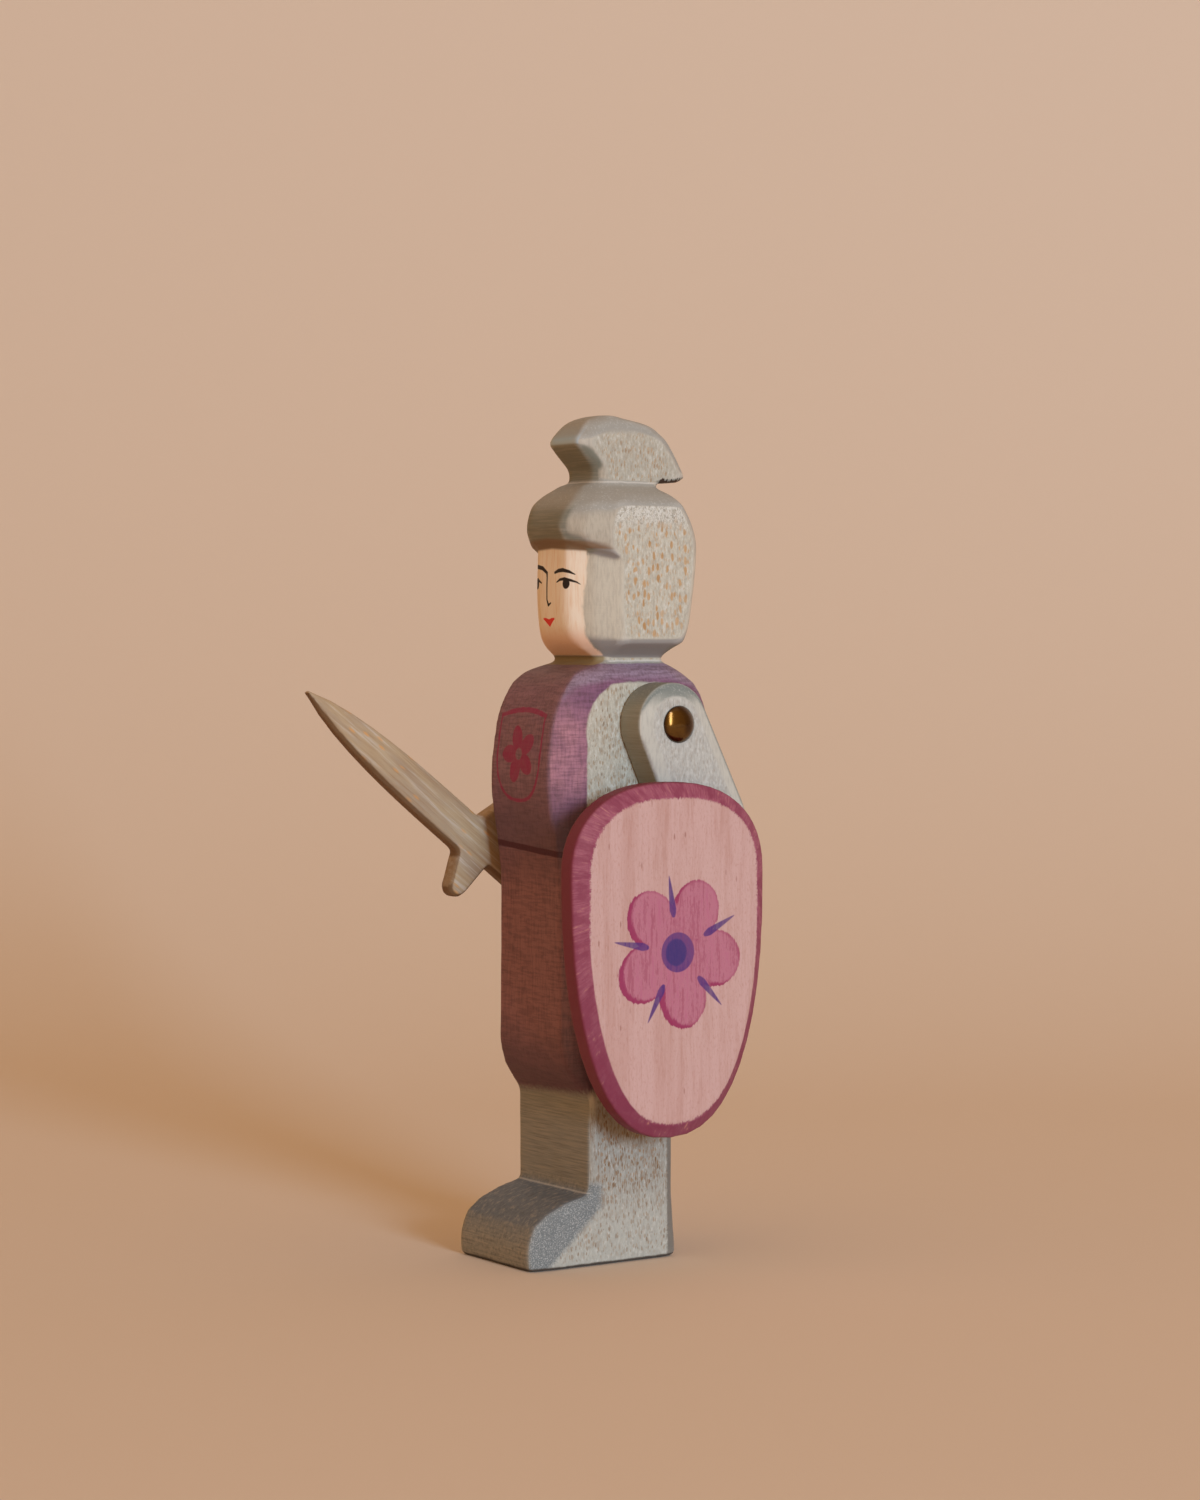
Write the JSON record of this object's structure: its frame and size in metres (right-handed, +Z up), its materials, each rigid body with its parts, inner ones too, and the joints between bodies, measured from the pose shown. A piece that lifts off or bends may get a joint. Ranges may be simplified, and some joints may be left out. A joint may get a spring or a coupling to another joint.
{
  "type": "toy knight figure",
  "caption": "Carved and painted wooden knight that stands on its feet, with arms that turn on domed nails, a shield on the left arm and a sword in the right fist.",
  "frame": {"origin": "on the floor under the middle of the plank, between toe and heel", "axes": "+Z up, the face looks along -Y, the shield is on the figure's left at +X and the sword on its right at -X"},
  "size_m": [0.0487, 0.0752, 0.1596],
  "materials": {
    "painted_body": "matt hand paint, thin enough for the grain to show: mauve tunic, silver-grey helmet and legs",
    "silver_wood": "silver-grey wash over bare wood, with brown flecks of the grain",
    "nail_steel": "bright drawn wire",
    "brass_dome": "polished",
    "shield_paint": "salmon-pink matt paint with a magenta brushed rim and a painted heraldic rose",
    "bare_wood": "bare turned beech",
    "sword_wood": "pale grey wash, grain along the blade"
  },
  "bodies": {
    "figure": {"body": "painted_body", "left_nail": "nail_steel", "right_nail": "nail_steel", "left_nail_cap": "brass_dome", "right_nail_cap": "brass_dome"},
    "left_arm": {"left_arm": "silver_wood", "shield": "shield_paint", "shield_dowels": "bare_wood"},
    "right_arm": {"right_arm": "silver_wood", "sword": "sword_wood"}
  },
  "joints": [
    {"name": "left_shoulder", "type": "hinge", "parent": "figure", "child": "left_arm", "pos_m": [0.0166, 0.0053, 0.1013], "axis": [1, 0, 0], "continuous": true},
    {"name": "right_shoulder", "type": "hinge", "parent": "figure", "child": "right_arm", "pos_m": [-0.0166, 0.0053, 0.1013], "axis": [1, 0, 0], "continuous": true}
  ]
}
